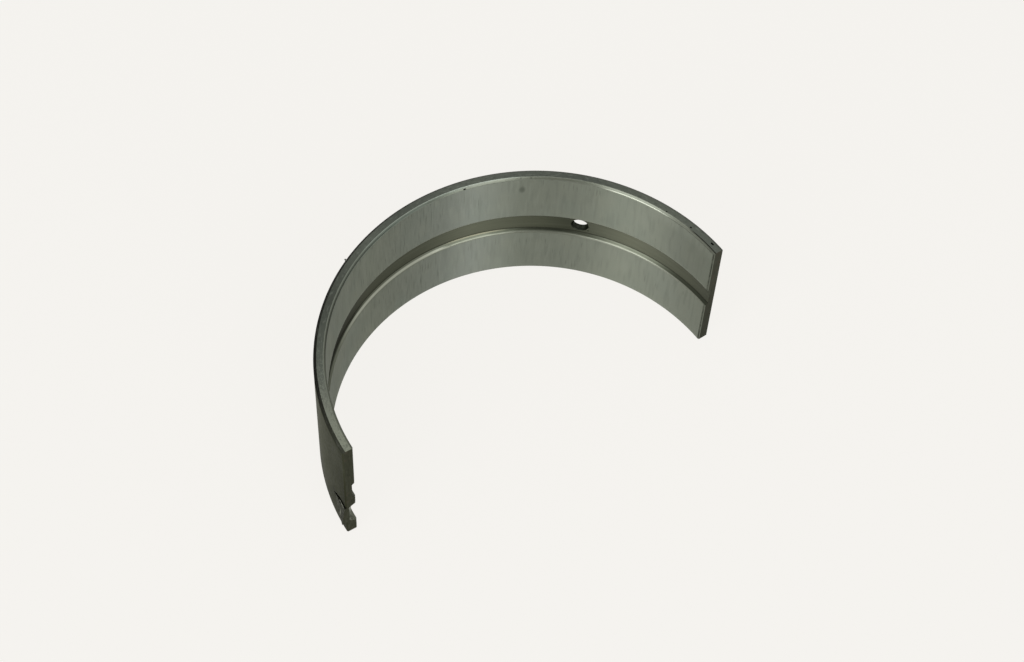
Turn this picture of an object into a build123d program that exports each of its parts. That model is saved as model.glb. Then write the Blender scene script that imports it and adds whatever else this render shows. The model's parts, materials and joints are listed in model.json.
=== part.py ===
# Grooved half shell of an engine main bearing, as it is before fitting.
#
# One strip of steel-backed bearing metal, bent to a half ring. The bearing
# axis is +Z and the origin is on it at half the width. +Y points at the crown,
# and both joint faces look towards -Y. The shell stands on its end face at -Z.
# An oil groove runs round the middle of the bore, with one oil hole to the
# back, and a pressed lug at the joint face on the -X side keeps it from turning.
# All lengths are in millimetres and all angles in degrees.

import math
import os

from build123d import *

# The strip and the seat that it is made for
housing_diameter = 90.0
wall_thickness = 2.5
shell_width = 33.0
free_spread = 1.5      # wider across the joint faces than the housing, before fitting
joint_nip = 0.04       # each half is this much longer than half the housing

# Edges
back_edge_chamfer = 0.6
bore_edge_chamfer = 0.5
joint_relief_length = 0.5   # along the bore, from the joint face
joint_relief_depth = 0.3    # into the wall, on the joint face
joint_back_chamfer = 0.25
joint_foot_bevel = 0.45     # on the corner between each joint face and the lower end face

# Oil groove and oil hole
groove_floor_width = 4.6
groove_depth = 0.85
groove_wall_angle = 39.0    # each wall leans out from square to the floor
groove_corner_radius = 0.3
oil_hole_diameter = 3.5
oil_hole_angle = 45.0       # round from the +X axis
oil_hole_countersink = 0.15

# Pressed lug, on the back at one joint face; its outer face slants across the width
lug_low_side = 4.5          # sides are told by their height above the lower end face
lug_high_side = 10.5
lug_low_height = 1.05       # out of the back at the joint face, along the lower side
lug_high_height = 0.3       # and along the upper side
lug_length = 4.6            # along the back, from the joint face to where the lug runs out

# Recess that the punch leaves in the bore behind the lug
recess_low_side = 4.9       # sides of its floor, above the lower end face
recess_high_side = 10.3
recess_low_flare = 0.7      # lower side leans out by this much for each mm of depth
recess_high_flare = 0.5
recess_flat = 1.2           # length of the floor from the joint face
recess_length = 2.8         # length of the mouth
recess_corner_radius = 0.35
recess_wall = 0.7           # metal between its floor and the back, not counting the lug

# Cutters reach past the surfaces that they cut by this much
reach = 1.0
hole_lead = 0.1             # and the hole's countersink past the curved groove floor

# Sizes that follow from those above
housing_radius = housing_diameter / 2
back_radius = housing_radius + free_spread / 2
bore_radius = back_radius - wall_thickness
half_width = shell_width / 2
groove_floor_radius = bore_radius + groove_depth
recess_depth = wall_thickness - recess_wall

# Bending the strip open leaves the length of its middle line as it is
middle_length = math.pi * (housing_radius - wall_thickness / 2) + joint_nip
span_angle = math.degrees(middle_length / (back_radius - wall_thickness / 2))
first_joint_angle = 90 - span_angle / 2
lug_joint_angle = 90 + span_angle / 2


def around(radius, angle):
    """Point in the XY plane at a radius and an angle from +X."""
    turn = math.radians(angle)
    return (radius * math.cos(turn), radius * math.sin(turn))


def arc_angle(length, radius):
    """Angle that a length covers along an arc."""
    return math.degrees(length / radius)


def strip_section():
    """Cross-section of the wall in the XZ plane, with its four edge chamfers."""
    points = [
        (bore_radius + bore_edge_chamfer, -half_width),
        (back_radius - back_edge_chamfer, -half_width),
        (back_radius, -half_width + back_edge_chamfer),
        (back_radius, half_width - back_edge_chamfer),
        (back_radius - back_edge_chamfer, half_width),
        (bore_radius + bore_edge_chamfer, half_width),
        (bore_radius, half_width - bore_edge_chamfer),
        (bore_radius, -half_width + bore_edge_chamfer),
    ]
    return make_face(Polyline(*points, close=True))


def groove_section():
    """Cross-section of the oil groove, open towards the bearing axis."""
    lean = math.tan(math.radians(groove_wall_angle))
    floor_half = groove_floor_width / 2
    mouth_half = floor_half + (groove_depth + reach) * lean
    points = [
        (groove_floor_radius, -floor_half),
        (groove_floor_radius, floor_half),
        (bore_radius - reach, mouth_half),
        (bore_radius - reach, -mouth_half),
    ]
    section = make_face(Polyline(*points, close=True))
    floor_corners = section.vertices().group_by(Axis.X)[-1]
    return fillet(floor_corners, groove_corner_radius)


def half_ring():
    """The grooved strip, bent round the bearing axis to its free span."""
    section = Plane.XZ * (strip_section() - groove_section())
    ring = revolve(section, Axis.Z, span_angle)
    return Rot(0, 0, first_joint_angle) * ring


def joint_relief(angle, side):
    """Cutter for the edge where the bore meets a joint face; side is +1 where the strip goes on."""
    run = side * arc_angle(joint_relief_length, bore_radius)
    past = side * arc_angle(reach, bore_radius)
    points = [
        around(bore_radius, angle + run),
        around(bore_radius + joint_relief_depth, angle),
        around(bore_radius + joint_relief_depth, angle - past),
        around(bore_radius - reach, angle - past),
        around(bore_radius - reach, angle + run),
    ]
    return extrude(make_face(Polyline(*points, close=True)), half_width + reach, both=True)


def joint_back_edge(angle, side):
    """Cutter for the small chamfer where the back meets a joint face."""
    run = side * arc_angle(joint_back_chamfer, back_radius)
    past = side * arc_angle(reach, back_radius)
    points = [
        around(back_radius, angle + run),
        around(back_radius - joint_back_chamfer, angle),
        around(back_radius - joint_back_chamfer, angle - past),
        around(back_radius + reach, angle - past),
        around(back_radius + reach, angle + run),
    ]
    return extrude(make_face(Polyline(*points, close=True)), half_width + reach, both=True)


def joint_plane(radius, angle):
    """Plane square to the wall: local X up the width from the lower end face, local Z outwards."""
    turn = math.radians(angle)
    outward = (math.cos(turn), math.sin(turn), 0)
    return Plane((*around(radius, angle), -half_width), x_dir=(0, 0, 1), z_dir=outward)


def joint_foot(angle, side):
    """Cutter for the lower corner of a joint face, right through the wall."""
    points = [
        (0, -side * joint_foot_bevel),
        (joint_foot_bevel, 0),
        (joint_foot_bevel, side * reach),
        (-reach, side * reach),
        (-reach, -side * joint_foot_bevel),
    ]
    base = joint_plane(back_radius - wall_thickness / 2, angle)
    return extrude(base * make_face(Polyline(*points, close=True)), wall_thickness, both=True)


def oil_hole():
    """Cutter for the radial hole from the groove floor to the back, countersunk at both ends."""
    radius = oil_hole_diameter / 2
    wide = radius + oil_hole_countersink
    inner = groove_floor_radius
    outer = back_radius
    points = [
        (0, inner - reach),
        (wide + hole_lead, inner - reach),
        (wide + hole_lead, inner - hole_lead),
        (radius, inner + oil_hole_countersink),
        (radius, outer - oil_hole_countersink),
        (wide + reach, outer + reach),
        (0, outer + reach),
    ]
    tool = revolve(Plane.XZ * make_face(Polyline(*points, close=True)), Axis.Z, 360)
    return Rot(0, 0, oil_hole_angle) * (Rot(0, 90, 0) * tool)


def lug_outline(height):
    """Outline of the tongue in the XY plane, sloping from its height at the joint face to the back."""
    root = back_radius - wall_thickness / 2
    ramp_end = lug_joint_angle - arc_angle(lug_length, back_radius)
    points = [
        around(root, lug_joint_angle),
        around(back_radius + height, lug_joint_angle),
        around(back_radius, ramp_end),
        around(root, ramp_end),
    ]
    return make_face(Polyline(*points, close=True))


def lug():
    """The tongue that the punch pushes out of the back, higher along its lower side."""
    low = Pos(0, 0, -half_width + lug_low_side) * lug_outline(lug_low_height)
    high = Pos(0, 0, -half_width + lug_high_side) * lug_outline(lug_high_height)
    return loft([low, high], ruled=True)


def recess_outline(depth):
    """Outline of the punch at a depth into the wall, in the plane of the recess."""
    above_floor = recess_depth - depth
    low = recess_low_side - recess_low_flare * above_floor
    high = recess_high_side + recess_high_flare * above_floor
    end = recess_flat + (recess_length - recess_flat) * above_floor / recess_depth
    corners = [(low, -reach), (high, -reach), (high, end), (low, end)]
    return make_face(Polyline(*corners, close=True))


def lug_recess():
    """Cutter in the form of the punch: a flared pocket with a ramp at its far end."""
    base = joint_plane(bore_radius, lug_joint_angle)
    mouth = base.offset(-reach) * recess_outline(-reach)
    floor = base.offset(recess_depth) * recess_outline(recess_depth)
    punch = loft([mouth, floor], ruled=True)
    floor_edges = punch.edges().group_by(lambda edge: round(base.to_local_coords(edge @ 0.5).Z, 3))[-1]
    rounded = [edge for edge in floor_edges if base.to_local_coords(edge @ 0.5).Y > -reach / 2]
    return fillet(rounded, recess_corner_radius)


def bearing_shell():
    """The whole shell as one solid."""
    shell = half_ring()
    for angle, side in ((first_joint_angle, 1), (lug_joint_angle, -1)):
        shell -= joint_relief(angle, side)
        shell -= joint_back_edge(angle, side)
        shell -= joint_foot(angle, side)
    shell -= oil_hole()
    shell += lug()
    shell -= lug_recess()
    return shell


os.makedirs("parts", exist_ok=True)
export_step(bearing_shell(), "parts/bearing_shell.step")
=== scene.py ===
import json
import math

import bmesh
import bpy
from mathutils import Euler, Matrix, Vector


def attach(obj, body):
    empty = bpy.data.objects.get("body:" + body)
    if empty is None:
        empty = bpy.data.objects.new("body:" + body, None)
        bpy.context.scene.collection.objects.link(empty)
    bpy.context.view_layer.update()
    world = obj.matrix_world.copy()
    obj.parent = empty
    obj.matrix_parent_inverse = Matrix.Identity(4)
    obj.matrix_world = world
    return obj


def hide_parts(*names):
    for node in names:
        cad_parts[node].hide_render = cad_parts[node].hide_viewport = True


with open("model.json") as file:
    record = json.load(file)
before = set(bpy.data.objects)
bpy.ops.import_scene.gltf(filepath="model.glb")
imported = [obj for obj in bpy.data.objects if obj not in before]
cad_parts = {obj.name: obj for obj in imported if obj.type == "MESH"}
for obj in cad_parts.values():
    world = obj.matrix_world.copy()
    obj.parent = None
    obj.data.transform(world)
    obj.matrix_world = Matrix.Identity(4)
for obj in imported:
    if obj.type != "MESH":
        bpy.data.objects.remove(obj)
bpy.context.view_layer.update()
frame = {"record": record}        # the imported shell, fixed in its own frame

# Lengths are in millimetres until a mesh is finished, then in metres.
# Angles go round the bearing axis (Z), from +X over the crown at +Y.
mm = 0.001
reach = 1.0                     # cutters go past the surface by this much
cadNode = "bearing_shell"
mounts = {mount["name"]: mount for mount in frame["record"]["mounts"]}

# Finishes of the one strip, in the order of its material slots. The function that makes a finish
# has the same name.
finishes = ["boredLining", "milledGroove", "grooveWall", "rolledBack", "facedEnd", "boreChamfer",
            "backChamfer", "burnishedEdge", "cutJoint", "jointRelief", "pressedLug", "punchedRecess",
            "tornEdge", "drilledHole", "openPore"]


def jointAngle(mountName):
    # A joint face looks along the arc, so its normal gives the angle where the strip ends
    nx, ny = mounts[mountName]["axis"][:2]
    return math.degrees(math.atan2(abs(nx), ny))


# What can be changed on the shell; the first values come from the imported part
shell = {
    "boreRadius": mounts["journal_bore"]["dims"]["r_mm"],
    "backRadius": mounts["housing_seat"]["pos_m"][1] / mm,
    "halfWidth": -mounts["lower_end_face"]["pos_m"][2] / mm,
    "halfSpan": jointAngle("lug_side_joint_face") - 90,
    "backChamfer": 0.6,
    "boreChamfer": 0.5,
    "edgeBreak": 0.1,           # every machined edge is broken by about this much
    "mouthRound": 0.22,         # and those of the groove's mouth by more
    "narrowFace": 0.15,         # faces narrower than this belong to a broken edge
    "wallLevel": 0.6,           # groove faces that look further up or down belong to its walls
    "squareOn": 0.95,           # a face that looks along a direction does so by more than this
    "grooveFloorWidth": 4.6,
    "grooveDepth": 0.85,
    "grooveWallAngle": 39.0,
    "grooveCornerCut": 0.16,
    "roundSegments": 4,         # steps of the groove's rounds and of the recess's
    "breakSegments": 3,         # and of the broken edges
    "longestSectionEdge": 1.1,
    "degreesPerStep": 0.6,
    "smoothAngle": 28.0,        # faces that meet more sharply than this keep a hard edge
    "reliefLength": 0.5,
    "reliefDepth": 0.3,
    "jointBackChamfer": 0.25,
    "jointFootBevel": 0.45,
}

oilHole = {
    "radius": mounts["oil_hole"]["dims"]["r_mm"],
    "angle": math.degrees(math.atan2(mounts["oil_hole"]["axis"][1], mounts["oil_hole"]["axis"][0])),
    "countersink": 0.15,
    "sides": 64,
    "mergeDistance": 0.0001,    # points of its tool that are nearer than this are one point
}

lug = {
    "lowSide": 4.5,             # heights of its sides above the lower end face
    "highSide": 10.5,
    "lowHeight": 1.05,          # out of the back at the joint face, along each side
    "highHeight": 0.3,
    "length": 4.6,
    "recessLowSide": 4.9,       # heights of the recess's sides at its floor
    "recessHighSide": 10.3,
    "lowFlare": 0.7,            # how far each side leans out over a millimetre towards the bore
    "highFlare": 0.5,
    "recessFlat": 1.2,          # from the joint face to the ramp, along the floor
    "recessLength": 2.8,        # and to the ramp's upper end, along the bore
    "recessRound": 0.35,
    "recessWall": 0.7,          # metal left between the recess and the back
}

shell["wall"] = shell["backRadius"] - shell["boreRadius"]
shell["grooveRadius"] = shell["boreRadius"] + shell["grooveDepth"]
lug["joint"] = 90 + shell["halfSpan"]
lug["recessDepth"] = shell["wall"] - lug["recessWall"]


def polar(radius, angle, z=0.0):
    # A point at a radius and an angle round the bearing axis
    turn = math.radians(angle)
    return Vector((radius * math.cos(turn), radius * math.sin(turn), z))


def arcAngle(length, radius):
    # The angle that a length along an arc takes up
    return math.degrees(length / radius)


def newObject(name, bm, finish=None):
    # A tool names the finish that it leaves on what it cuts or adds
    bmesh.ops.recalc_face_normals(bm, faces=bm.faces[:])
    if finish:
        for face in bm.faces:
            face.material_index = finishes.index(finish)
    mesh = bpy.data.meshes.new(name)
    bm.to_mesh(mesh)
    bm.free()
    piece = bpy.data.objects.new(name, mesh)
    bpy.context.scene.collection.objects.link(piece)
    return piece


def addSlots(piece):
    # One empty material slot for each finish
    for slot in finishes:
        piece.data.materials.append(None)


def turnRound(bm, angle):
    # Takes a mesh that was made on the X axis to its angle round the bearing axis
    turn = Matrix.Rotation(math.radians(angle), 3, "Z")
    bmesh.ops.rotate(bm, verts=bm.verts[:], cent=(0, 0, 0), matrix=turn)


def bridgeEnds(bm, ends):
    # Walls between two faces that have the same number of corners
    bmesh.ops.bridge_loops(bm, edges=[edge for end in ends for edge in end.edges])


def combine(target, tool, operation):
    # Joins a tool to the target or cuts it out, and leaves the result as the target's own mesh
    addSlots(tool)
    modifier = target.modifiers.new(tool.name, "BOOLEAN")
    modifier.object = tool
    modifier.operation = operation
    modifier.solver = "EXACT"
    ready = target.evaluated_get(bpy.context.evaluated_depsgraph_get())
    mesh = bpy.data.meshes.new_from_object(ready)
    target.modifiers.clear()
    target.data = mesh
    bpy.data.objects.remove(tool)


def sectionCorners():
    # The wall's section as radius and height, from the groove's lower mouth round to its floor
    low, high = shell["boreRadius"], shell["backRadius"]
    half = shell["halfWidth"]
    floorHalf = shell["grooveFloorWidth"] / 2
    mouthHalf = floorHalf + shell["grooveDepth"] * math.tan(math.radians(shell["grooveWallAngle"]))
    boreCut, backCut = shell["boreChamfer"], shell["backChamfer"]
    return [
        (low, -mouthHalf), (low, -half + boreCut), (low + boreCut, -half),
        (high - backCut, -half), (high, -half + backCut),
        (high, half - backCut), (high - backCut, half),
        (low + boreCut, half), (low, half - boreCut), (low, mouthHalf),
        (shell["grooveRadius"], floorHalf), (shell["grooveRadius"], -floorHalf),
    ]


def stripFinish(face):
    # Each turned, rolled or cut surface of the strip is told by where it lies and looks
    middle = face.calc_center_median()
    outward = face.normal.dot(Vector((middle.x, middle.y, 0)).normalized())
    level = face.normal.z
    inGroove = middle.xy.length < shell["backRadius"] - reach and abs(middle.z) < shell["halfWidth"] / 2
    narrow = min(edge.calc_length() for edge in face.edges) < shell["narrowFace"]
    if abs(outward) + abs(level) < 1 - shell["squareOn"]:
        return "cutJoint"
    if abs(level) > shell["squareOn"]:
        return "facedEnd"
    if outward > 0:
        return "rolledBack" if outward > shell["squareOn"] else "backChamfer"
    if inGroove and narrow and middle.xy.length < shell["boreRadius"] + shell["mouthRound"]:
        return "grooveWall"
    if inGroove and middle.xy.length > shell["boreRadius"] + shell["narrowFace"]:
        return "milledGroove" if abs(level) < shell["wallLevel"] else "grooveWall"
    if narrow:
        return "burnishedEdge"
    return "boredLining" if outward < -shell["squareOn"] else "boreChamfer"


def bentStrip():
    # The wall's section, with its edges broken, spun round the bearing axis
    bm = bmesh.new()
    corners = [bm.verts.new((radius, 0, z)) for radius, z in sectionCorners()]
    bm.faces.new(corners)
    mouth, floor, edges = [corners[0], corners[9]], corners[-2:], corners[1:9]
    for chosen, offset, segments in ((floor, shell["grooveCornerCut"], shell["roundSegments"]),
                                     (mouth, shell["mouthRound"], shell["roundSegments"]),
                                     (edges, shell["edgeBreak"], shell["breakSegments"])):
        bmesh.ops.bevel(bm, geom=chosen, offset=offset, affect="VERTICES", segments=segments,
                        profile=0.5, material=-1)
    for edge in list(bm.edges):
        cuts = int(edge.calc_length() / shell["longestSectionEdge"])
        if cuts:
            bmesh.ops.subdivide_edges(bm, edges=[edge], cuts=cuts)
    turnRound(bm, 90 - shell["halfSpan"])
    bmesh.ops.spin(bm, geom=bm.verts[:] + bm.edges[:] + bm.faces[:], cent=(0, 0, 0), axis=(0, 0, 1),
                   dvec=(0, 0, 0), angle=math.radians(2 * shell["halfSpan"]),
                   steps=round(2 * shell["halfSpan"] / shell["degreesPerStep"]), use_merge=False)
    bmesh.ops.recalc_face_normals(bm, faces=bm.faces[:])
    for face in bm.faces:
        face.material_index = finishes.index(stripFinish(face))
    strip = newObject(cadNode + "_finished", bm)
    addSlots(strip)
    return strip


def prism(outline, bottom, height):
    # An outline in the XY plane, raised along Z
    bm = bmesh.new()
    base = bm.faces.new([bm.verts.new((point.x, point.y, bottom)) for point in outline])
    raised = bmesh.ops.extrude_face_region(bm, geom=[base], use_keep_orig=True)
    moved = [item for item in raised["geom"] if isinstance(item, bmesh.types.BMVert)]
    bmesh.ops.translate(bm, verts=moved, vec=(0, 0, height))
    return bm


def edgeCutter(name, finish, angle, side, radius, run, depth, over):
    # Takes off the corner between a joint face and the bore (over below 0) or the back
    turn = side * arcAngle(run, radius)
    past = side * arcAngle(reach, radius)
    outline = [
        polar(radius, angle + turn), polar(radius + depth, angle), polar(radius + depth, angle - past),
        polar(radius + over, angle - past), polar(radius + over, angle + turn),
    ]
    full = shell["halfWidth"] + reach
    return newObject(name, prism(outline, -full, 2 * full), finish)


def jointFootCutter(angle, side):
    # Takes off the corner between a joint face and the lower end face
    bevel, foot = shell["jointFootBevel"], -shell["halfWidth"]
    outline = [(-bevel, foot), (0, foot + bevel), (reach, foot + bevel), (reach, foot - reach),
               (-bevel, foot - reach)]
    low, high = shell["boreRadius"] - reach, shell["backRadius"] + reach
    bm = bmesh.new()
    rings = [[bm.verts.new((radius, -side * along, z)) for along, z in outline] for radius in (low, high)]
    bridgeEnds(bm, [bm.faces.new(ring) for ring in rings])
    turnRound(bm, angle)
    return newObject("jointFoot", bm, "cutJoint")


def trimJoints(strip):
    for angle, side in ((90 - shell["halfSpan"], 1), (90 + shell["halfSpan"], -1)):
        relief = edgeCutter("relief", "jointRelief", angle, side, shell["boreRadius"],
                            shell["reliefLength"], shell["reliefDepth"], -reach)
        combine(strip, relief, "DIFFERENCE")
        chamfer = edgeCutter("jointChamfer", "rolledBack", angle, side, shell["backRadius"],
                             shell["jointBackChamfer"], -shell["jointBackChamfer"], reach)
        combine(strip, chamfer, "DIFFERENCE")
        combine(strip, jointFootCutter(angle, side), "DIFFERENCE")


def holeCutter():
    # Half the hole's outline with a countersink at the groove floor and at the back, spun into a tool.
    # The floor rises beside the hole, so that the inner countersink starts before it.
    radius, sink = oilHole["radius"], oilHole["countersink"]
    inner, outer = shell["grooveRadius"], shell["backRadius"]
    outline = [
        (0, inner - reach), (radius + 2 * sink, inner - reach), (radius + 2 * sink, inner - sink),
        (radius, inner + sink),
        (radius, outer - sink), (radius + sink + reach, outer + reach), (0, outer + reach),
    ]
    bm = bmesh.new()
    points = [bm.verts.new((along, 0, away)) for away, along in outline]
    chain = [bm.edges.new(pair) for pair in zip(points, points[1:])]
    bmesh.ops.spin(bm, geom=points + chain, cent=(0, 0, 0), axis=(1, 0, 0), dvec=(0, 0, 0),
                   angle=math.tau, steps=oilHole["sides"], use_merge=True)
    bmesh.ops.remove_doubles(bm, verts=bm.verts[:], dist=oilHole["mergeDistance"])
    turnRound(bm, oilHole["angle"])
    return newObject("oilHole", bm, "drilledHole")


def lugTongue():
    # Slopes from the joint face down to the back, and stands out further along its lower side
    root = shell["backRadius"] - shell["wall"] / 2
    rampEnd = lug["joint"] - arcAngle(lug["length"], shell["backRadius"])
    bm = bmesh.new()
    ends = []
    for height, side in ((lug["lowHeight"], lug["lowSide"]), (lug["highHeight"], lug["highSide"])):
        z = side - shell["halfWidth"]
        corners = [
            polar(root, lug["joint"], z), polar(shell["backRadius"] + height, lug["joint"], z),
            polar(shell["backRadius"], rampEnd, z), polar(root, rampEnd, z),
        ]
        ends.append(bm.faces.new([bm.verts.new(corner) for corner in corners]))
    bridgeEnds(bm, ends)
    bmesh.ops.recalc_face_normals(bm, faces=bm.faces[:])
    jointNormal = Vector(mounts["lug_side_joint_face"]["axis"])
    for face in bm.faces:
        sheared = abs(face.normal.dot(jointNormal)) > shell["squareOn"]
        torn = face.normal.z > shell["squareOn"]
        face.material_index = finishes.index("cutJoint" if sheared else "tornEdge" if torn else "pressedLug")
    return newObject("tongue", bm)


def tearCutter(outline, depth):
    # A crack in the back along the lug, told by its outline
    bm = bmesh.new()
    rings = []
    for radius in (shell["backRadius"] - depth, shell["backRadius"] + reach):
        corners = [polar(radius, lug["joint"] - arcAngle(behind, shell["backRadius"]),
                         above - shell["halfWidth"]) for behind, above in outline]
        rings.append(bm.faces.new([bm.verts.new(corner) for corner in corners]))
    bridgeEnds(bm, rings)
    return newObject("tear", bm, "tornEdge")


def recessPunch():
    # A flared block whose far end is a ramp, set in the bore where the lug is pushed out
    deep = lug["recessDepth"]
    bm = bmesh.new()
    rings = []
    for depth in (-reach, deep):
        above = deep - depth
        low = lug["recessLowSide"] - lug["lowFlare"] * above
        high = lug["recessHighSide"] + lug["highFlare"] * above
        end = lug["recessFlat"] + (lug["recessLength"] - lug["recessFlat"]) * above / deep
        corners = [(-reach, low), (-reach, high), (end, high), (end, low)]
        rings.append([bm.verts.new((depth, -along, z)) for along, z in corners])
    floor, mouth = bm.faces.new(rings[1]), bm.faces.new(rings[0])
    bridgeEnds(bm, [floor, mouth])
    # Rounded are the floor's edges inside the joint face, and the two that run up beside the ramp
    rounded = [edge for edge in floor.edges if (edge.verts[0].co.y + edge.verts[1].co.y) / 2 < reach / 2]
    rounded += [edge for edge in bm.edges if all(vert.co.y < 0 for vert in edge.verts)
                and edge not in rounded and edge not in list(mouth.edges)]
    bmesh.ops.bevel(bm, geom=rounded, offset=lug["recessRound"], affect="EDGES",
                    segments=shell["roundSegments"], profile=0.5, material=-1)
    place = Matrix.Translation(polar(shell["boreRadius"], lug["joint"], -shell["halfWidth"]))
    bmesh.ops.transform(bm, verts=bm.verts[:],
                        matrix=place @ Matrix.Rotation(math.radians(lug["joint"]), 4, "Z"))
    return newObject("recess", bm, "punchedRecess")


# Marks that the shell carries from its making and handling
marks = {
    # Cut in the upper end face: angle, mm from the bore, length along the arc, width and depth
    "pores": [(4.5, 1.33, 0.9, 0.45, 0.3), (12.1, 0.83, 0.5, 0.36, 0.25), (20.3, 0.61, 0.45, 0.3, 0.22)],
    "chamferNick": (78.6, 0.08, 0.85, 0.34, 0.62),
    # Cut beside the lug: corners as mm behind the joint face and mm above the lower end face, and depth
    "tears": [
        ([(0.45, 10.55), (1.7, 10.55), (2.6, 10.45), (3.1, 9.9), (3.9, 9.45), (4.6, 9.1), (5.4, 8.8),
          (5.5, 9.15), (3.9, 10.6), (2.4, 11.4), (1.2, 11.5), (0.45, 11.1)], 0.3),
        ([(2.1, 9.3), (2.6, 8.9), (3.5, 9.0), (3.4, 9.6), (2.7, 9.9), (2.2, 9.9)], 0.25)],
    # Only coloured: angle, height over the middle of the width, half its length and half its height
    "smudge": (62.0, 12.6, (0.85, 1.4)),
    "scratch": (78.6, 13.0, (0.13, 2.2)),
    "chamferCatches": [(62.5, 16.3, (0.3, 0.25)), (59.6, 16.3, (0.3, 0.25))],
    "rimNick": (43.0, -0.9, (0.35, 0.3)),
    "holeNicks": [(42.5, -1.4, (0.3, 0.26)), (42.6, -0.15, (0.45, 0.35))],
    # Painted highlight streak on the lug's edge
    "lugStreak": (175.9, -10.5, (0.35, 1.2)),
    # Painted shadow of the crack on the back above the lug
    "crackStain": (171.6, -6.6, (0.9, 1.1)),
    # Painted glints in the recess
    "recessGlints": [(178.4, -8.6, (0.35, 1.3)), (177.4, -11.3, (0.9, 0.35))],
    # Stands on the back's upper chamfer, and rises by its lean from the way straight outwards
    "burr": {"angle": 118.5, "sides": 7, "base": 0.5, "taper": 2 / 3, "length": 0.52, "below": 0.45,
             "lean": 24.0},
}


def porePunch(angle, fromBore, along, across, deep):
    # A small rounded pit, its middle on the upper end face
    place = polar(shell["boreRadius"] + fromBore, angle, shell["halfWidth"])
    bm = bmesh.new()
    bmesh.ops.create_icosphere(bm, subdivisions=2, radius=0.5)
    bmesh.ops.scale(bm, verts=bm.verts[:], vec=(across, along, 2 * deep))
    turnRound(bm, angle)
    bmesh.ops.translate(bm, verts=bm.verts[:], vec=place)
    return newObject("pore", bm, "openPore")


def burrSliver():
    # A raised sliver that the edge tool left on the back's upper chamfer
    burr = marks["burr"]
    bm = bmesh.new()
    bmesh.ops.create_cone(bm, cap_ends=True, segments=burr["sides"], radius1=burr["base"] / 2,
                          radius2=burr["base"] / 2 * burr["taper"], depth=burr["length"])
    bmesh.ops.translate(bm, verts=bm.verts[:], vec=(0, 0, burr["length"] / 2))
    turn = Matrix.Rotation(math.radians(burr["angle"]), 3, "Z")
    tilt = Matrix.Rotation(math.radians(90 - burr["lean"]), 3, "Y")
    bmesh.ops.rotate(bm, verts=bm.verts[:], matrix=turn @ tilt)
    root = shell["backRadius"] - shell["backChamfer"] / 2
    bmesh.ops.translate(bm, verts=bm.verts[:],
                        vec=polar(root, burr["angle"], shell["halfWidth"] - burr["below"]))
    return newObject("burr", bm, "facedEnd")


def makeShell():
    piece = bentStrip()
    print("strip spun:", len(piece.data.polygons), "faces")
    trimJoints(piece)
    combine(piece, holeCutter(), "DIFFERENCE")
    combine(piece, lugTongue(), "UNION")
    combine(piece, recessPunch(), "DIFFERENCE")
    for tear in marks["tears"]:
        combine(piece, tearCutter(*tear), "DIFFERENCE")
    for pore in marks["pores"] + [marks["chamferNick"]]:
        combine(piece, porePunch(*pore), "DIFFERENCE")
    combine(piece, burrSliver(), "UNION")
    piece.data.transform(Matrix.Scale(mm, 4))
    piece.data.shade_smooth()
    piece.data.set_sharp_from_angle(angle=math.radians(shell["smoothAngle"]))
    print("shell cut:", len(piece.data.polygons), "faces")
    return piece


def linear(hexColour):
    # sRGB hex to the linear values that shaders take
    values = []
    for start in (0, 2, 4):
        value = int(hexColour[start:start + 2], 16) / 255
        values.append(value / 12.92 if value <= 0.04045 else ((value + 0.055) / 1.055) ** 2.4)
    return (*values, 1.0)


def addNode(tree, kind, settings=None, links=None):
    # settings are attributes, input values or a ramp's stops; links name the output socket that feeds
    # an input, or else the number or hex colour that the input keeps
    node = tree.nodes.new(kind)
    for name, value in (settings or {}).items():
        if name == "stops":
            for place, colour in value[2:]:
                node.color_ramp.elements.new(place)
            for stop, (place, colour) in zip(node.color_ramp.elements, sorted(value)):
                stop.position = place
                stop.color = linear(colour)
        elif isinstance(name, int) or name in node.inputs:
            node.inputs[name].default_value = value
        else:
            setattr(node, name, value)
    for name, source in (links or {}).items():
        if isinstance(source, bpy.types.NodeSocket):
            tree.links.new(source, node.inputs[name])
        else:
            node.inputs[name].default_value = linear(source) if isinstance(source, str) else source
    return node


def newMaterial(name):
    material = bpy.data.materials.new(name)
    material.use_nodes = True
    material.node_tree.nodes.clear()
    return material


# Patterns are laid on the strip as if it were flat: mm along the arc, mm up the width, mm from the axis.
# The arc starts at 0 at the crown and is positive towards the lug.
flatStrip = {"middleRadius": (shell["boreRadius"] + shell["backRadius"]) / 2}
flatStrip["halfLength"] = flatStrip["middleRadius"] * math.radians(shell["halfSpan"])


def unroll(tree):
    # The place on the flat strip of the point that is shaded
    place = addNode(tree, "ShaderNodeTexCoord")
    part = addNode(tree, "ShaderNodeSeparateXYZ", links={"Vector": place.outputs["Object"]})
    turn = addNode(tree, "ShaderNodeMath", {"operation": "ARCTAN2"},
                   {0: part.outputs["Y"], 1: part.outputs["X"]})
    fromCrown = addNode(tree, "ShaderNodeMath", {"operation": "SUBTRACT", 1: math.pi / 2},
                        {0: turn.outputs[0]})
    along = addNode(tree, "ShaderNodeMath", {"operation": "MULTIPLY", 1: flatStrip["middleRadius"]},
                    {0: fromCrown.outputs[0]})
    up = addNode(tree, "ShaderNodeMath", {"operation": "DIVIDE", 1: mm}, {0: part.outputs["Z"]})
    flat = addNode(tree, "ShaderNodeCombineXYZ", links={"X": part.outputs["X"], "Y": part.outputs["Y"]})
    away = addNode(tree, "ShaderNodeVectorMath", {"operation": "LENGTH"}, {0: flat.outputs[0]})
    depth = addNode(tree, "ShaderNodeMath", {"operation": "DIVIDE", 1: mm}, {0: away.outputs["Value"]})
    return addNode(tree, "ShaderNodeCombineXYZ", links={
        "X": along.outputs[0], "Y": up.outputs[0], "Z": depth.outputs[0]}).outputs["Vector"]


def newFinish(name):
    # A material, its nodes and the place on the flat strip that its patterns read
    material = newMaterial(name)
    return material, material.node_tree, unroll(material.node_tree)


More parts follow.
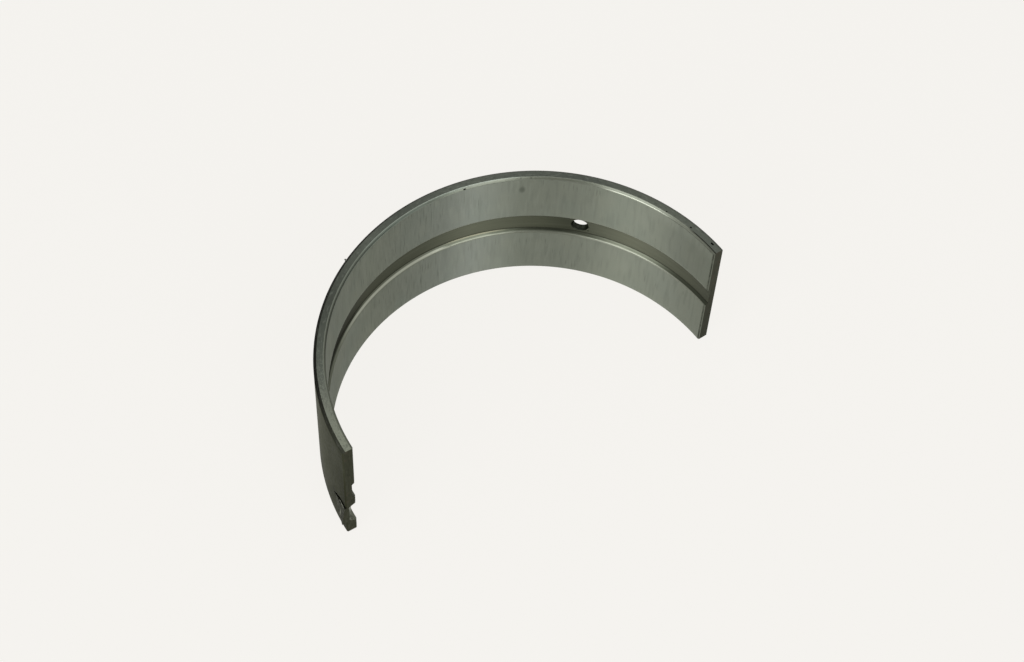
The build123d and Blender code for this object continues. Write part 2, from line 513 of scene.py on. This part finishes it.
def roundArc(tree, flat, stops):
    # Colour that changes round the arc, told by its value at some angles
    part = addNode(tree, "ShaderNodeSeparateXYZ", links={"Vector": flat})
    end = flatStrip["halfLength"]
    share = addNode(tree, "ShaderNodeMapRange", {"From Min": -end, "From Max": end},
                    {"Value": part.outputs["X"]})
    places = [((angle - 90) / shell["halfSpan"] / 2 + 0.5, colour) for angle, colour in stops.items()]
    return addNode(tree, "ShaderNodeValToRGB", {"stops": places}, {"Fac": share.outputs[0]}).outputs["Color"]


def blots(tree, flat, size, low=0.3, high=0.7, detail=2.0, start=0.0):
    # Noise with blots of a size in mm (along the arc, up the width, into the wall): 0 where it is
    # below low and 1 where it is above high
    place = addNode(tree, "ShaderNodeMapping", {
        "Scale": [1 / length for length in size], "Location": (start, start, start)}, {"Vector": flat})
    noise = addNode(tree, "ShaderNodeTexNoise", {"Scale": 1.0, "Detail": detail},
                    {"Vector": place.outputs["Vector"]})
    return addNode(tree, "ShaderNodeMapRange", {"From Min": low, "From Max": high},
                   {"Value": noise.outputs["Fac"]}).outputs[0]


def zone(tree, flat, axis, low, high, soft):
    # 1 between two places along an axis of the flat strip, falling to 0 over a soft length
    part = addNode(tree, "ShaderNodeSeparateXYZ", links={"Vector": flat})
    rise = addNode(tree, "ShaderNodeMapRange", {"From Min": low - soft, "From Max": low},
                   {"Value": part.outputs[axis]})
    fall = addNode(tree, "ShaderNodeMapRange", {"From Min": high + soft, "From Max": high},
                   {"Value": part.outputs[axis]})
    return addNode(tree, "ShaderNodeMath", {"operation": "MULTIPLY"}, {
        0: rise.outputs[0], 1: fall.outputs[0]}).outputs[0]


def sector(tree, flat, first, last, soft):
    # 1 between two angles round the arc, falling to 0 over a soft angle
    scale = flatStrip["middleRadius"] * math.radians(1)
    return zone(tree, flat, "X", (first - 90) * scale, (last - 90) * scale, soft * scale)


def spot(tree, flat, angle, height, size):
    # A soft-edged mark on the strip, at an angle and a height over the middle of the width
    middle = flatStrip["middleRadius"] * math.radians(angle - 90)
    away = addNode(tree, "ShaderNodeMapping", {
        "Location": (-middle / size[0], -height / size[1], 0), "Scale": (1 / size[0], 1 / size[1], 0)},
        {"Vector": flat})
    length = addNode(tree, "ShaderNodeVectorMath", {"operation": "LENGTH"}, {0: away.outputs["Vector"]})
    return addNode(tree, "ShaderNodeMapRange", {"From Min": 1.0, "From Max": 0.4},
                   {"Value": length.outputs["Value"]}).outputs[0]


def stack(tree, colour, layers):
    # Lays colours over a first one, each with a strength and the amounts that limit it
    for over, strength, amounts in layers:
        for amount in amounts:
            limit = addNode(tree, "ShaderNodeMath", {"operation": "MULTIPLY"}, {0: amount, 1: strength})
            strength = limit.outputs[0]
        mix = addNode(tree, "ShaderNodeMix", {"data_type": "RGBA"}, {0: strength, 6: colour, 7: over})
        colour = mix.outputs[2]
    return colour


def metal(tree, colour, pattern, low, high, anisotropic=0.0, edgeTint=1.0, dents=None):
    # Roughness follows a pattern between two values. The machining marks run round the arc, so that
    # an anisotropic finish smears light up the width. A low edge tint keeps a dull oxide dark at a slant.
    # Dents are a pattern of heights and their depth in mm.
    rough = addNode(tree, "ShaderNodeMapRange", {"To Min": low, "To Max": high}, {"Value": pattern})
    shader = addNode(tree, "ShaderNodeBsdfPrincipled", {
        "Metallic": 1.0, "Anisotropic": anisotropic, "Specular Tint": (edgeTint, edgeTint, edgeTint, 1.0)},
        {"Base Color": colour, "Roughness": rough.outputs[0]})
    if anisotropic:
        lay = addNode(tree, "ShaderNodeCombineXYZ", {"Z": 1.0})
        tree.links.new(lay.outputs["Vector"], shader.inputs["Tangent"])
    if dents:
        heights, depth = dents
        relief = addNode(tree, "ShaderNodeBump", {"Strength": 1.0, "Distance": depth * mm},
                         {"Height": heights})
        tree.links.new(relief.outputs["Normal"], shader.inputs["Normal"])
    addNode(tree, "ShaderNodeOutputMaterial", links={"Surface": shader.outputs["BSDF"]})


def boredLining():
    # Lead-grey bearing overlay, fine-bored: a satin sheen that gathers in two bands along the axis,
    # helped by painted highlight in the tones round the arc, faint cloudy tones, and sparse dark
    # streaks along the axis where it was wiped. The real streaks are too fine to show, so the narrow
    # ones are drawn as coarse as 0.24 mm.
    material, tree, flat = newFinish("bored_lining")
    # Tones round the arc, with painted highlight near 32°, 76° and 112°
    base = roundArc(tree, flat, {
        2: "82877b", 14: "80857a", 32: "808579", 50: "7a7f74", 62: "767b70", 76: "7d827a", 84: "737870",
        90: "757a71", 112: "797e72", 128: "777c71", 150: "6c7065"})
    wiped = blots(tree, flat, (7, 9, 6), 0.5, 0.62, start=30)
    edge = shell["halfWidth"]
    colour = stack(tree, base, [
        ("707b73", 0.16, [blots(tree, flat, (8, 12, 6), 0.5, 0.66, start=12)]),
        ("868a7c", 0.2, [blots(tree, flat, (5, 8, 6), 0.5, 0.68, start=40)]),
        ("959a8e", 0.4, [zone(tree, flat, "Y", -edge, -3, 0.5), sector(tree, flat, 0, 16, 10)]),
        ("9a9f93", 0.3, [zone(tree, flat, "Y", 15.2, edge, 2.6), sector(tree, flat, 0, 18, 8)]),
        ("646960", 0.24, [blots(tree, flat, (0.8, 7, 4), 0.5, 0.7, 1.0, start=71)]),
        ("8d9287", 0.16, [blots(tree, flat, (0.7, 6, 4), 0.52, 0.7, 1.0, start=5)]),
        ("565b51", 0.4, [blots(tree, flat, (0.24, 4.0, 4), 0.68, 0.8, 0.0, start=8), wiped]),
        ("50554b", 0.45, [blots(tree, flat, (0.24, 4.5, 4), 0.62, 0.78, 0.0, start=60),
                          sector(tree, flat, 88, 120, 5)]),
        ("4c5148", 0.6, [spot(tree, flat, *marks["smudge"])]),
        ("565b51", 0.35, [spot(tree, flat, *marks["scratch"])]),
    ])
    metal(tree, colour, blots(tree, flat, (3, 8, 4), start=4), 0.52, 0.57, anisotropic=0.9)
    return material


def milledGroove():
    # Groove milled through the overlay into the layer beneath: smooth, darker and browner, with
    # faint tool lines round the arc, painted shade in the corners at the foot of each wall, and
    # painted highlight near 30° and 76° in its tones round the arc
    material, tree, flat = newFinish("milled_groove")
    # Tones round the arc, with painted highlight near 30° and 76°
    base = roundArc(tree, flat, {
        2: "595c50", 10: "616456", 18: "646759", 30: "686b5c", 41: "5a5d50", 48: "44473b", 56: "525547",
        76: "5d6052", 90: "515447", 112: "4e5144", 122: "3c3e34", 132: "282a23", 150: "2c2e26"})
    floorHalf = shell["grooveFloorWidth"] / 2
    colour = stack(tree, base, [
        # Painted shade in the corners where the floor meets the walls
        ("24251f", 0.6, [zone(tree, flat, "Y", -floorHalf - 0.12, -floorHalf + 0.05, 0.22)]),
        ("24251f", 0.75, [zone(tree, flat, "Y", floorHalf - 0.05, floorHalf + 0.12, 0.22)]),
        ("6c6f61", 0.12, [blots(tree, flat, (14, 0.6, 0.4), 0.5, 0.7, start=3)]),
        ("383a30", 0.12, [blots(tree, flat, (9, 0.7, 0.5), 0.52, 0.7, start=21)]),
        ("8a8d7e", 0.7, [spot(tree, flat, *marks["rimNick"])]),
    ] + [("2c2e26", 0.8, [spot(tree, flat, *nick)]) for nick in marks["holeNicks"]])
    metal(tree, colour, blots(tree, flat, (9, 1.2, 0.5), start=15), 0.54, 0.59, anisotropic=0.9)
    return material


def grooveWall():
    # Sloping walls of the groove: a painted highlight over some lengths round the arc and darker over
    # others, a painted highlight along the rim at the mouth, painted shade along the foot, a tool line
    # and a trace of the bronze layer at the foot
    material, tree, flat = newFinish("milled_groove_wall")
    # Tones round the arc: painted highlight in bands, darker between them
    base = roundArc(tree, flat, {
        3: "3d4137", 14: "43473c", 24: "5d6155", 32: "64685c", 42: "42453b", 51: "2b2e26", 60: "34372e",
        67: "494d42", 72: "5c6054", 84: "5a5e52", 90: "6a6e62", 98: "62665a", 112: "595d51", 120: "5c6054",
        127: "6a6e62", 133: "72766a", 150: "62665a"})
    low, foot = shell["boreRadius"], shell["grooveRadius"]
    rim = zone(tree, flat, "Z", low - reach, low + 0.16, 0.1)
    softRim = zone(tree, flat, "Z", low - reach, low + 0.05, 0.45)
    innerRim = zone(tree, flat, "Z", low + 0.14, low + 0.4, 0.14)
    colour = stack(tree, base, [
        # Painted shade along the foot of the wall
        ("2c2e27", 0.3, [zone(tree, flat, "Z", foot - 0.1, foot, 0.12)]),
        ("706f5e", 0.75, [zone(tree, flat, "Z", foot - 0.24, foot + 0.1, 0.06),
                          sector(tree, flat, 70, 80, 5)]),
        ("30332b", 0.4, [zone(tree, flat, "Z", low + 0.43, low + 0.48, 0.06)]),
        # Painted shade along the foot, deeper towards the lug
        ("262821", 0.85, [zone(tree, flat, "Z", foot - 0.28, foot + 0.1, 0.12),
                          sector(tree, flat, 120, 180, 6)]),
        # Painted highlight along the rim at the mouth, in lengths round the arc
        ("8f9387", 0.9, [rim, sector(tree, flat, 3, 48, 4)]),
        ("6e7267", 0.95, [softRim, sector(tree, flat, 46, 64, 4)]),
        ("888c80", 0.65, [rim, sector(tree, flat, 67, 84, 4)]),
        ("a1a598", 0.95, [innerRim, sector(tree, flat, 87, 180, 4), sector(tree, flat, 0, 118, 14)]),
    ])
    metal(tree, colour, blots(tree, flat, (2, 0.5, 0.5)), 0.3, 0.37, anisotropic=0.8)
    return material


def rolledBack():
    # Steel back of the strip, cold-rolled and lightly oxidised: dark olive, dull, faintly cloudy,
    # and beside the lug lighter high up and darker low down
    material, tree, flat = newFinish("rolled_steel_back")
    base = roundArc(tree, flat, {2: "494b40", 120: "4d5142", 164: "474b32", 172: "404330", 178: "3e4032"})
    edge = shell["halfWidth"]
    colour = stack(tree, base, [
        ("5a5d50", 0.4, [blots(tree, flat, (3, 7, 6), 0.5, 0.68, start=5)]),
        ("34362d", 0.4, [blots(tree, flat, (0.8, 3, 3), 0.52, 0.7, start=17)]),
        ("5a5d4e", 0.25, [zone(tree, flat, "Y", 9, edge, 8), sector(tree, flat, 160, 180, 5)]),
        ("34362b", 0.25, [zone(tree, flat, "Y", -edge, -9, 6), sector(tree, flat, 160, 180, 5)]),
        # Painted shadow of the crack, above the lug
        ("24261e", 0.6, [spot(tree, flat, *marks["crackStain"])]),
    ])
    metal(tree, colour, blots(tree, flat, (0.6, 0.6, 0.6)), 0.4, 0.5, edgeTint=0.45)
    return material


def facedEnd():
    # End face turned square: fine-grained grey, lighter towards the joints, and lighter, green and
    # grainy towards the lug's end. The real grain is too fine to show, so it is drawn at 0.3 to 0.4 mm.
    material, tree, flat = newFinish("faced_end")
    base = roundArc(tree, flat, {
        2: "5a5f58", 22: "5f645c", 46: "515650", 78: "5d625b", 98: "50554f", 110: "5a5f58", 132: "474b45",
        148: "555a53", 156: "5d625b", 165: "767a70", 176: "82877a"})
    lugEnd = sector(tree, flat, 156, 180, 10.3)
    colour = stack(tree, base, [
        ("757b73", 0.45, [blots(tree, flat, (1.2, 0.5, 0.5), 0.54, 0.7, 4.0, start=7)]),
        ("3e423d", 0.45, [blots(tree, flat, (0.9, 0.4, 0.4), 0.54, 0.7, 4.0, start=27)]),
        ("8d9486", 0.45, [blots(tree, flat, (0.34, 0.3, 0.3), 0.5, 0.66, 3.0, start=33), lugEnd]),
        ("454b41", 0.4, [blots(tree, flat, (0.34, 0.3, 0.3), 0.54, 0.7, 3.0, start=53), lugEnd]),
    ])
    grain = blots(tree, flat, (0.4, 0.4, 0.4), detail=3.0)
    metal(tree, colour, grain, 0.42, 0.52, dents=(grain, 0.006))
    return material


def boreChamfer():
    # Turned chamfer at the bore: brighter than the lining where it meets the lamps, dull past them.
    # Towards the lug a painted reflection runs along its upper edge and it is dark along its lower one,
    # a painted highlight lies along its lower edge near 22° to 36°, and at the plain joint its upper
    # edge is near black.
    material, tree, flat = newFinish("turned_bore_chamfer")
    base = roundArc(tree, flat, {
        2: "6e7268", 12: "7b7f74", 20: "73776d", 37: "73776d", 43: "62665c", 61: "666a60", 68: "70746a",
        76: "6c7068", 84: "60675e", 92: "6c756d", 104: "707b73", 114: "575e57", 138: "4a4d46", 156: "666a60",
        174: "767a6e"})
    low, high = shell["boreRadius"], shell["boreRadius"] + shell["boreChamfer"]
    colour = stack(tree, base, [
        ("5c6056", 0.35, [zone(tree, flat, "Z", low + 0.2, low + 0.28, 0.05)]),
        # Painted reflection along the upper edge towards the lug
        ("7f867c", 0.55, [zone(tree, flat, "Z", high - 0.14, high, 0.05), sector(tree, flat, 92, 162, 6)]),
        ("585c52", 0.6, [zone(tree, flat, "Z", low - 0.1, low + 0.14, 0.1), sector(tree, flat, 56, 88, 4)]),
        ("32352e", 0.8, [zone(tree, flat, "Z", low - 0.1, low + 0.14, 0.06),
                         sector(tree, flat, 104, 147, 6)]),
        # Painted highlight along the lower edge, in the band near 30°
        ("a9aea1", 0.7, [zone(tree, flat, "Z", low - 0.1, low + 0.1, 0.06), sector(tree, flat, 22, 36, 4)]),
        ("21231e", 0.9, [zone(tree, flat, "Z", high - 0.14, high + reach, 0.05),
                         sector(tree, flat, 0, 10, 3)]),
        ("4d5049", 0.3, [blots(tree, flat, (1.5, 0.4, 0.4), 0.54, 0.68, start=9)]),
    ] + [("4a4d46", 0.7, [spot(tree, flat, *catch)]) for catch in marks["chamferCatches"]])
    metal(tree, colour, blots(tree, flat, (2, 0.5, 0.5)), 0.3, 0.36, anisotropic=0.8)
    return material


def backChamfer():
    # Turned chamfer at the back: bare and as grey as the end face over the crown, near black by the lug
    material, tree, flat = newFinish("turned_back_chamfer")
    base = roundArc(tree, flat, {
        2: "484b44", 40: "4d5049", 70: "4a4d46", 86: "3a3c36", 104: "262722", 158: "1c1d1a", 178: "3a3c34"})
    colour = stack(tree, base, [("5f625a", 0.35, [blots(tree, flat, (1.6, 0.4, 0.4), 0.56, 0.7, start=2)])])
    metal(tree, colour, blots(tree, flat, (0.8, 0.5, 0.5)), 0.4, 0.48, edgeTint=0.6)
    return material


def burnishedEdge():
    # Broken edges rubbed to bare metal: a little lighter and smoother than the faces beside them,
    # with a painted highlight on the inner edges near 22° to 36° and a painted reflection along the
    # outer edges from 65° to 164°
    material, tree, flat = newFinish("burnished_edge")
    base = roundArc(tree, flat, {
        2: "6c7066", 15: "6f7369", 84: "70756b", 110: "747d74", 124: "687067", 142: "5c6056", 178: "6c7065"})
    inner = zone(tree, flat, "Z", shell["boreRadius"] - reach, shell["boreRadius"] + 0.2, 0.05)
    outer = zone(tree, flat, "Z", shell["boreRadius"] + 0.3, shell["backRadius"], 0.05)
    colour = stack(tree, base, [
        ("4f524a", 0.4, [blots(tree, flat, (1.8, 1, 1), 0.55, 0.7, start=11)]),
        # Painted reflection along the outer edges towards the lug
        ("97a097", 0.7, [outer, sector(tree, flat, 65, 112, 4)]),
        ("7f847a", 0.7, [outer, sector(tree, flat, 116, 164, 4)]),
        # Painted highlight on the inner edges, in the band near 30°
        ("bfc4b6", 0.9, [inner, sector(tree, flat, 22, 36, 4)]),
        ("21231e", 0.9, [outer, sector(tree, flat, 0, 10, 3)]),
    ])
    metal(tree, colour, blots(tree, flat, (1, 1, 1)), 0.34, 0.42, anisotropic=0.6)
    return material


def cutJoint():
    # Joint face broached square through the wall: dark olive, dull, with faint upright tool marks,
    # darker low down on the plain joint
    material, tree, flat = newFinish("broached_joint_face")
    base = roundArc(tree, flat, {2: "4a4c42", 90: "4a4c42", 178: "434539"})
    colour = stack(tree, base, [
        ("54564a", 0.4, [blots(tree, flat, (1, 2.4, 0.5), 0.5, 0.66, start=3)]),
        ("34362c", 0.5, [blots(tree, flat, (1, 1.6, 0.3), 0.54, 0.68, start=14)]),
        ("544d42", 0.4, [blots(tree, flat, (2, 1.6, 1.2), 0.55, 0.66, start=44)]),
        ("34362e", 0.35, [zone(tree, flat, "Y", -shell["halfWidth"], -3, 6), sector(tree, flat, 0, 20, 5)]),
    ])
    metal(tree, colour, blots(tree, flat, (0.5, 0.8, 0.3)), 0.44, 0.52, edgeTint=0.5)
    return material


def jointRelief():
    # Bore relieved at the joint by a file: bright along both rims, with dark catches between
    material, tree, flat = newFinish("filed_joint_relief")
    base = roundArc(tree, flat, {2: "585c52", 178: "50534a"})
    low, high = shell["boreRadius"], shell["boreRadius"] + shell["reliefDepth"]
    catches = blots(tree, flat, (2, 1.1, 2), 0.42, 0.56, start=6)
    colour = stack(tree, base, [
        ("868b7d", 0.42, [zone(tree, flat, "Z", high - 0.07, high + 0.1, 0.04)]),
        ("7d8275", 0.48, [zone(tree, flat, "Z", low - 0.1, low + 0.05, 0.03)]),
        ("33362f", 0.8, [zone(tree, flat, "Z", low + 0.11, low + 0.17, 0.04), catches]),
    ])
    metal(tree, colour, catches, 0.38, 0.46, edgeTint=0.7)
    return material


def pressedLug():
    # Back of the lug, dragged by the die: olive mottled with lighter scuffs, with a painted highlight
    # along its torn rim and a painted highlight streak low down near the joint
    material, tree, flat = newFinish("pressed_lug")
    rim, jointFace = lug["highSide"] - shell["halfWidth"], flatStrip["halfLength"]
    base = roundArc(tree, flat, {2: "44463b", 170: "444639", 175: "3f4134", 178: "393b2f"})
    ragged = blots(tree, flat, (0.7, 0.5, 1), 0.38, 0.52, start=19)
    colour = stack(tree, base, [
        ("676b60", 0.45, [blots(tree, flat, (0.7, 1.0, 1), 0.54, 0.66, 3.0, start=8)]),
        ("292b24", 0.55, [blots(tree, flat, (0.6, 0.8, 1), 0.53, 0.66, 3.0, start=28)]),
        # Painted highlight along the torn rim, towards the joint face
        ("a8ab9c", 0.85, [zone(tree, flat, "Y", rim - 0.45, rim, 0.12), ragged,
                          zone(tree, flat, "X", jointFace - 2.4, jointFace - 0.6, 0.3)]),
        # Painted highlight streak along the lug's edge
        ("979b8d", 0.9, [spot(tree, flat, *marks["lugStreak"])]),
    ])
    metal(tree, colour, ragged, 0.36, 0.5, edgeTint=0.5, dents=(ragged, 0.02))
    return material


def punchedRecess():
    # Recess that the punch smeared: rippled and mottled, with a painted highlight towards the bore,
    # painted shade under its upper side and painted glints in places
    material, tree, flat = newFinish("punched_recess")
    low, upperSide = shell["boreRadius"], lug["recessHighSide"] - shell["halfWidth"]
    ripple = blots(tree, flat, (0.8, 0.7, 0.7), 0.35, 0.65, 3.0, start=12)
    colour = stack(tree, "5a5e53", [
        # Painted highlight towards the bore
        ("8f9385", 0.5, [zone(tree, flat, "Z", low - reach, low + 0.45, 0.3)]),
        ("8f9385", 0.5, [blots(tree, flat, (0.9, 0.9, 0.9), 0.48, 0.62, start=31)]),
        ("33362d", 0.5, [blots(tree, flat, (0.5, 0.6, 0.6), 0.52, 0.66, start=51)]),
        # Painted shade under the upper side
        ("2f3229", 0.75, [zone(tree, flat, "Y", upperSide - 0.9, 0, 0.6)]),
    # Painted glints
    ] + [("b0b4a5", 0.75, [spot(tree, flat, *glint)]) for glint in marks["recessGlints"]])
    metal(tree, colour, ripple, 0.34, 0.46, dents=(ripple, 0.03))
    return material


def tornEdge():
    # Torn steel in the crack at the lug's root: painted almost black for the shade in the crack
    material, tree, flat = newFinish("torn_steel")
    metal(tree, "1d1e19", blots(tree, flat, (0.4, 0.4, 0.4)), 0.55, 0.7, edgeTint=0.2)
    return material


def drilledHole():
    # Wall of the drilled hole: dark with oil, a lighter ring of drill marks half-way through
    material, tree, flat = newFinish("drilled_hole")
    middle = flatStrip["middleRadius"] + shell["grooveDepth"] / 2
    colour = stack(tree, "2a2d26", [
        ("3c3f38", 0.6, [zone(tree, flat, "Z", middle - 0.2, middle + 0.3, 0.2),
                         blots(tree, flat, (0.8, 0.8, 3), 0.45, 0.6)]),
    ])
    metal(tree, colour, blots(tree, flat, (0.5, 0.5, 0.2)), 0.4, 0.5, edgeTint=0.4)
    return material


def openPore():
    # Inside of a pore in the strip's metal: painted black for the shade inside the pit
    material, tree, flat = newFinish("open_pore")
    metal(tree, "141512", blots(tree, flat, (0.4, 0.4, 0.4)), 0.6, 0.75, edgeTint=0.2)
    return material


piece = makeShell()
makers = [boredLining, milledGroove, grooveWall, rolledBack, facedEnd, boreChamfer, backChamfer,
          burnishedEdge, cutJoint, jointRelief, pressedLug, punchedRecess, tornEdge, drilledHole, openPore]
for maker in makers:
    piece.data.materials[finishes.index(maker.__name__)] = maker()
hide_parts(cadNode)
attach(piece, "root")
print("finishes laid:", len(makers))

# Floor and studio
studio = {
    "floorColour": "f6f4f0",
    "floorSize": 4.0,
    "floorOwnLight": 0.95,      # share of the backdrop that shows at its own colour, past any shadow
    "worldColour": "f6f4f0",
    "worldStrength": 0.45,
    "lampWidth": 0.42,
    "lampHeight": 1.0,
    "lampDistance": 0.9,
    "lampPower": 3.3,
    "lampAzimuths": (268.0, 195.0),
    "lampElevation": 35.0,
}


def backdropRays(tree):
    # 1 for the rays that show the backdrop: straight to the camera, or by way of metal or glass
    rays = addNode(tree, "ShaderNodeLightPath")
    shown = addNode(tree, "ShaderNodeMath", {"operation": "MAXIMUM"},
                    {0: rays.outputs["Is Camera Ray"], 1: rays.outputs["Is Glossy Ray"]})
    return addNode(tree, "ShaderNodeMath", {"operation": "MAXIMUM"},
                   {0: shown.outputs[0], 1: rays.outputs["Is Transmission Ray"]}).outputs[0]


def makeFloor():
    bm = bmesh.new()
    bmesh.ops.create_grid(bm, x_segments=1, y_segments=1, size=studio["floorSize"] / 2)
    bmesh.ops.translate(bm, verts=bm.verts[:], vec=(0, 0, -shell["halfWidth"] * mm))
    floor = newObject("floor", bm)
    material = newMaterial("white_paper_sweep")
    tree = material.node_tree
    paper = addNode(tree, "ShaderNodeBsdfDiffuse", {"Color": linear(studio["floorColour"])})
    glow = addNode(tree, "ShaderNodeEmission", {"Color": linear(studio["floorColour"]), "Strength": 1.0})
    share = addNode(tree, "ShaderNodeMath", {"operation": "MULTIPLY", 1: studio["floorOwnLight"]},
                    {0: backdropRays(tree)})
    mix = addNode(tree, "ShaderNodeMixShader", links={
        0: share.outputs[0], 1: paper.outputs["BSDF"], 2: glow.outputs["Emission"]})
    addNode(tree, "ShaderNodeOutputMaterial", links={"Surface": mix.outputs["Shader"]})
    floor.data.materials.append(material)


def makeWorld():
    world = bpy.data.worlds.new("studio")
    bpy.context.scene.world = world
    world.use_nodes = True
    tree = world.node_tree
    tree.nodes.clear()
    light = addNode(tree, "ShaderNodeBackground", {
        "Color": linear(studio["worldColour"]), "Strength": studio["worldStrength"]})
    backdrop = addNode(tree, "ShaderNodeBackground", {
        "Color": linear(studio["worldColour"]), "Strength": 1.0})
    mix = addNode(tree, "ShaderNodeMixShader", links={
        0: backdropRays(tree), 1: light.outputs["Background"], 2: backdrop.outputs["Background"]})
    addNode(tree, "ShaderNodeOutputWorld", links={"Surface": mix.outputs["Shader"]})


def makeLamps():
    for number, azimuth in enumerate(studio["lampAzimuths"]):
        data = bpy.data.lights.new("softbox%d" % number, "AREA")
        data.shape = "RECTANGLE"
        data.size = studio["lampWidth"]
        data.size_y = studio["lampHeight"]
        data.energy = studio["lampPower"]
        lamp = bpy.data.objects.new(data.name, data)
        bpy.context.scene.collection.objects.link(lamp)
        distance, rise = studio["lampDistance"], math.radians(studio["lampElevation"])
        place = polar(distance * math.cos(rise), azimuth, distance * math.sin(rise))
        lamp.location = place
        lamp.rotation_euler = (-place).to_track_quat("-Z", "Y").to_euler()


# Camera, fitted to the outline of the shell in the photograph. The origin is on the bearing axis,
# at the middle of the width.
view = {
    "place": (-144.79, -188.26, 390.55),
    "turn": (32.8547, -1.8764, -33.1219),
    "lens": 77.99,
    "sensor": 36.0,
    "nearest": 10.0,
}


def makeCamera():
    data = bpy.data.cameras.new("camera")
    data.sensor_fit = "HORIZONTAL"
    data.sensor_width = view["sensor"]
    data.lens = view["lens"]
    data.clip_start = view["nearest"] * mm
    camera = bpy.data.objects.new("camera", data)
    bpy.context.scene.collection.objects.link(camera)
    camera.location = Vector(view["place"]) * mm
    camera.rotation_euler = Euler([math.radians(value) for value in view["turn"]])
    bpy.context.scene.camera = camera


makeFloor()
makeWorld()
makeLamps()
makeCamera()
bpy.context.scene.view_settings.view_transform = "Standard"
print("studio and camera set")
